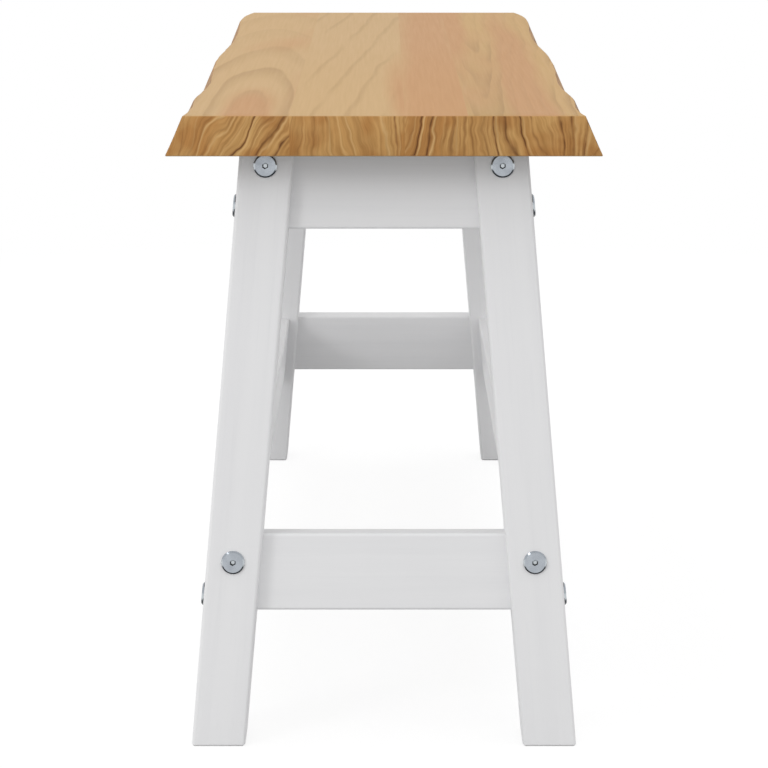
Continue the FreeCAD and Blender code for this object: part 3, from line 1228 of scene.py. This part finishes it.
@dataclass
class Bolts:
    """Flat-headed bolts with a hexagon socket, whose heads lie on the outer faces of the legs.

    At the seat's underside, the leg faces with the side boards' bolts lie `side_face` from the bench's
    middle, and those with the end boards' bolts `end_face`. `levels` gives the height at which each node's
    bolts enter their boards.
    """

    head_radius: float = 0.00825
    head_height: float = 0.0020
    rim: float = 0.0011
    seam: float = 0.0002
    shank_radius: float = 0.0030
    shank_length: float = 0.0565
    socket_flats: float = 0.0026
    socket_depth: float = 0.0016
    socket_ease: float = 0.0007
    sides: int = 64
    socket_sides: int = 6
    facing: float = 0.95
    leg_width: float = 0.038
    underside: float = 0.422
    side_face: float = 0.412
    end_face: float = 0.100
    levels: tuple[tuple[str, Run, float], ...] = (
        ("side_rail_bolts_upper", Run.SIDE, 0.4075),
        ("side_rail_bolts_lower", Run.SIDE, 0.1293),
        ("end_rail_bolts_upper", Run.END, 0.3773),
        ("end_rail_bolts_lower", Run.END, 0.1017),
    )
    # Painted shade of the socket's walls: grey where they face down, near black elsewhere
    socket_shade_tones: Tones = ((0.375, (0.400, 0.440, 0.470)), (0.450, (0.010, 0.012, 0.014)))
    socket_roughness: float = 0.5

    @property
    def tolerance(self) -> float:
        """Distance within which two places are the same."""
        return self.seam / 4

    @property
    def socket_radius(self) -> float:
        """Distance of the socket's corners from its middle."""
        return self.socket_flats / 2 / math.cos(math.pi / self.socket_sides)

    def build(self) -> Iterable[Piece]:
        """Model one bolt and copy it to every place.

        Returns:
            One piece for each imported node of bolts, one at a time.
        """
        # The socket's finish paints shade on its walls
        socket = BoltRim("zinc_socket", self.socket_shade_tones, metal=0.0, roughness=self.socket_roughness)
        finishes = (ZincSteel("zinc_plate").material(), BoltRim("zinc_rim").material(), socket.material())
        model = self.model(finishes)
        for node, run, level in self.levels:
            copies = [self.copy(model, run, along, out, level) for along in (-1, 1) for out in (-1, 1)]
            Workshop.take(*copies)
            bpy.ops.object.join()
            piece = Workshop.settle(node + "_steel")
            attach(piece, ROOT_BODY)
            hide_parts(node)
            yield piece
        Workshop.remove(model)

    def model(self, finishes: Sequence[Material]) -> Piece:
        """Model a bolt that stands on the origin, its head up and its shank below.

        Args:
            finishes: Finish of the plain faces, of the rim and of the socket's walls.

        Returns:
            The bolt.
        """
        Workshop.clear()
        bpy.ops.mesh.primitive_cylinder_add(
            vertices=self.sides, radius=self.head_radius, depth=self.head_height,
            location=(0, 0, self.head_height / 2),
        )
        bolt = Workshop.settle("bolt_model")
        for finish in finishes:
            bolt.data.materials.append(finish)
        bpy.ops.object.mode_set(mode="EDIT")
        Workshop.pick(bolt, Element.FACE, lambda centre, normal: normal.z < -self.facing)
        bpy.ops.mesh.inset(thickness=self.head_radius - self.shank_radius)
        bpy.ops.mesh.extrude_region_move(TRANSFORM_OT_translate={"value": (0, 0, -self.shank_length)})
        border = (self.head_radius - self.tolerance, self.head_radius + self.tolerance)
        self.chamfer(bolt, self.head_height, border, self.rim)
        self.chamfer(bolt, 0.0, border, self.seam)
        rim_start = self.head_radius - self.rim
        # The rim takes the painted reflection and shade
        Workshop.dress(
            bolt, BoltFace.RIM, lambda centre, normal: centre.xy.length > rim_start and centre.z > 0,
        )
        Workshop.close(bolt)
        self.cut_socket(bolt)
        self.ease_socket(bolt)
        return bolt

    def chamfer(self, bolt: Piece, level: float, ring: Pair, size: float) -> None:
        """Chamfer the edges that lie in a flat ring round the bolt's axis.

        Args:
            bolt: The bolt in edit mode.
            level: Height of the ring.
            ring: Its inner and outer radius.
            size: Width of the chamfer's two sides.
        """
        inner, outer = ring

        def inside(place: Vector) -> bool:
            """Whether a place lies in the ring."""
            return abs(place.z - level) < self.tolerance and inner < place.xy.length < outer

        Workshop.pick(bolt, Element.EDGE, lambda first, second: inside(first) and inside(second))
        bpy.ops.mesh.bevel(offset=size, segments=1, affect="EDGES")

    def cut_socket(self, bolt: Piece) -> None:
        """Cut the hexagon socket into the head.

        Args:
            bolt: The bolt on the origin.
        """
        Workshop.clear()
        bpy.ops.mesh.primitive_cylinder_add(
            vertices=self.socket_sides, radius=self.socket_radius, depth=2 * self.socket_depth,
            location=(0, 0, self.head_height),
        )
        tool = bpy.context.object
        tool.data.materials.append(bolt.data.materials[BoltFace.PLAIN.value])
        Workshop.take(bolt)
        cut = bolt.modifiers.new("socket", "BOOLEAN")
        cut.operation = "DIFFERENCE"
        cut.solver = "EXACT"
        cut.object = tool
        bpy.ops.object.modifier_apply(modifier=cut.name)
        Workshop.remove(tool)

    def ease_socket(self, bolt: Piece) -> None:
        """Chamfer the socket's mouth, give the chamfer and the walls painted shade, and give the socket's
        floor the rim's painted reflection, which is light there.

        Args:
            bolt: The bolt with its socket.
        """
        Workshop.take(bolt)
        bpy.ops.object.mode_set(mode="EDIT")
        self.chamfer(bolt, self.head_height, (0.0, self.socket_radius + self.tolerance), self.socket_ease)
        mouth = self.socket_radius + self.socket_ease
        # Painted shade on the socket's chamfer and walls
        Workshop.dress(
            bolt, BoltFace.SOCKET,
            lambda centre, normal: (
                centre.xy.length < mouth and centre.z > 0 and abs(normal.z) < self.facing
            ),
        )
        # Painted reflection on the socket's floor, from the rim's finish
        halfway = self.head_height - self.socket_depth / 2
        Workshop.dress(
            bolt, BoltFace.RIM, lambda centre, normal: 0 < centre.z < halfway and normal.z > self.facing,
        )
        Workshop.close(bolt)

    def copy(self, model: Piece, run: Run, along: int, out: int, level: float) -> Piece:
        """Copy the bolt to one joint of a leg and a board.

        Args:
            model: The bolt on the origin.
            run: Way that the board runs.
            along: Sign of the leg's place along the board.
            out: Sign of the board's side of the bench.
            level: Height at which the bolt enters the board.

        Returns:
            The copy, with its place in its mesh.
        """
        own, other = self.side_face, self.end_face
        if run is Run.END:
            own, other = other, own
        drop = math.tan(SPLAY) * (self.underside - level)
        entry = along * (own + drop - self.leg_width)
        beside = out * (other + drop - self.leg_width / 2)
        through = self.leg_width * math.cos(SPLAY)
        head_along = entry + along * through * math.cos(SPLAY)
        head_level = level + through * math.sin(SPLAY)
        place = Vector((beside, head_along, head_level))
        axis = Vector((0, along * math.cos(SPLAY), math.sin(SPLAY)))
        if run is Run.END:
            place, axis = place.yxz, axis.yxz
        Workshop.take(model)
        bpy.ops.object.duplicate(linked=False)
        copy = bpy.context.object
        copy.location = place
        copy.rotation_euler = axis.to_track_quat("Z", "Y").to_euler()
        bpy.ops.object.transform_apply(location=True, rotation=True, scale=True)
        return copy


@dataclass
class Fastenings:
    """Hidden barrel nuts, dowels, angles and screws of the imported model."""

    steel_words: tuple[str, ...] = ("nuts", "screws", "brackets")
    wood_word: str = "dowels"

    def dress(self, nodes: dict[str, Piece]) -> Iterable[str]:
        """Give each fastening its metal or wood.

        Args:
            nodes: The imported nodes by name.

        Returns:
            The name of each dressed node, one at a time.
        """
        steel = ZincSteel("plain_steel").material()
        beech = RawBeech("raw_beech").material()
        for name, node in sorted(nodes.items()):
            if name.endswith(self.steel_words):
                node.data.materials[0] = steel
            elif name.endswith(self.wood_word):
                node.data.materials[0] = beech
            else:
                continue
            yield name


@dataclass(frozen=True)
class Lamp:
    """A square soft lamp that looks at the bench, and may show in glossy surfaces alone."""

    name: str
    place: Triple
    size: float
    power: float
    gloss_only: bool = False
    aim: Triple = (0.0, 0.0, 0.25)

    def hang(self) -> None:
        """Put the lamp into the scene."""
        data = bpy.data.lights.new(self.name, "AREA")
        data.shape = "SQUARE"
        data.size = self.size
        data.energy = self.power
        lamp = bpy.data.objects.new(self.name, data)
        bpy.context.scene.collection.objects.link(lamp)
        lamp.visible_diffuse = not self.gloss_only
        lamp.location = self.place
        gaze = Vector(self.aim) - Vector(self.place)
        lamp.rotation_euler = gaze.to_track_quat("-Z", "Y").to_euler()


@dataclass
class Studio:
    """Pale floor, soft light and the camera at the photograph's viewing angle.

    The floor lights the bench by `floor_tone`. Where it is seen it glows by `floor_glow` and takes shadow
    by `floor_shade`, and it turns plain white over the distances of `floor_fade` from the bench's middle.
    """

    camera_distance: float = 1.857
    camera_height: float = 0.662
    camera_pitch: float = 0.2111
    focal_pixels: float = 2748.0
    picture_pixels: float = 768.0
    sensor: float = 36.0
    floor_size: float = 60.0
    floor_gap: float = 0.0002
    floor_tone: float = 0.42
    floor_shade: float = 0.22
    floor_glow: float = 0.82
    floor_fade: Pair = (0.8, 1.8)
    lamps: tuple[Lamp, ...] = (
        Lamp("key_left", (-2.60, -2.60, 1.75), size=1.0, power=22.0),
        Lamp("glint", (-2.30, -1.20, 3.30), size=0.8, power=15.0, gloss_only=True),
    )

    def build(self) -> None:
        """Set the floor, the world, the lamps and the camera."""
        self.lay_floor()
        self.light_world()
        for lamp in self.lamps:
            lamp.hang()
        self.place_camera()

    def lay_floor(self) -> None:
        """Lay a wide pale floor that keeps the bench's shadow."""
        Workshop.clear()
        bpy.ops.mesh.primitive_plane_add(size=self.floor_size, location=(0, 0, -self.floor_gap))
        floor = bpy.context.object
        floor.name = "studio_floor"
        sheet = NodeSheet.named("studio_floor_white")
        rays = sheet.add("ShaderNodeLightPath").outputs
        seen = sheet.calc(
            "MAXIMUM", rays["Is Camera Ray"], rays["Is Glossy Ray"], rays["Is Transmission Ray"],
        )
        plain = sheet.add("ShaderNodeBsdfDiffuse", {"Color": grey(self.floor_tone)})
        faint = sheet.add("ShaderNodeBsdfDiffuse", {"Color": grey(self.floor_shade)})
        glow = sheet.add("ShaderNodeEmission", {"Color": WHITE, "Strength": self.floor_glow})
        white = sheet.add("ShaderNodeEmission", {"Color": WHITE, "Strength": 1.0})
        near = sheet.add("ShaderNodeAddShader", {0: faint.outputs[0], 1: glow.outputs[0]})
        far = sheet.levels(sheet.length(sheet.place()), self.floor_fade)
        shown = sheet.add("ShaderNodeMixShader", {0: far, 1: near.outputs[0], 2: white.outputs[0]})
        mixed = sheet.add("ShaderNodeMixShader", {0: seen, 1: plain.outputs[0], 2: shown.outputs[0]})
        sheet.add("ShaderNodeOutputMaterial", {"Surface": mixed.outputs[0]})
        floor.data.materials.append(sheet.owner)
        floor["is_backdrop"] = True

    def light_world(self) -> None:
        """Set even white surroundings."""
        world = bpy.data.worlds.new("studio_world")
        bpy.context.scene.world = world
        sheet = NodeSheet(world)
        sky = sheet.add("ShaderNodeBackground", {"Color": WHITE, "Strength": 1.0})
        sheet.add("ShaderNodeOutputWorld", {"Surface": sky.outputs[0]})

    def place_camera(self) -> None:
        """Put the camera before the front end, looking down along the bench."""
        data = bpy.data.cameras.new("camera")
        data.sensor_width = self.sensor
        data.lens = self.focal_pixels / self.picture_pixels * self.sensor
        camera = bpy.data.objects.new("camera", data)
        bpy.context.scene.collection.objects.link(camera)
        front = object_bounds()[0][1]
        camera.location = (0.0, front - self.camera_distance, self.camera_height)
        camera.rotation_euler = Euler((math.pi / 2 - self.camera_pitch, 0.0, 0.0))
        bpy.context.scene.camera = camera


def main() -> None:
    """Load the frame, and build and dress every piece."""
    logging.basicConfig(level=logging.INFO, format="%(name)s: %(message)s")
    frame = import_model()
    for piece in Seat().build():
        log.info("modelled %s with %d faces", piece.name, len(piece.data.polygons))
    for name in PaintedFrame().dress(frame["nodes"]):
        log.info("painted %s", name)
    for piece in Bolts().build():
        log.info("modelled %s with %d faces", piece.name, len(piece.data.polygons))
    for name in Fastenings().dress(frame["nodes"]):
        log.info("dressed %s", name)
    Studio().build()
    bpy.context.scene.view_settings.view_transform = "Standard"


if __name__ == "__main__":
    main()
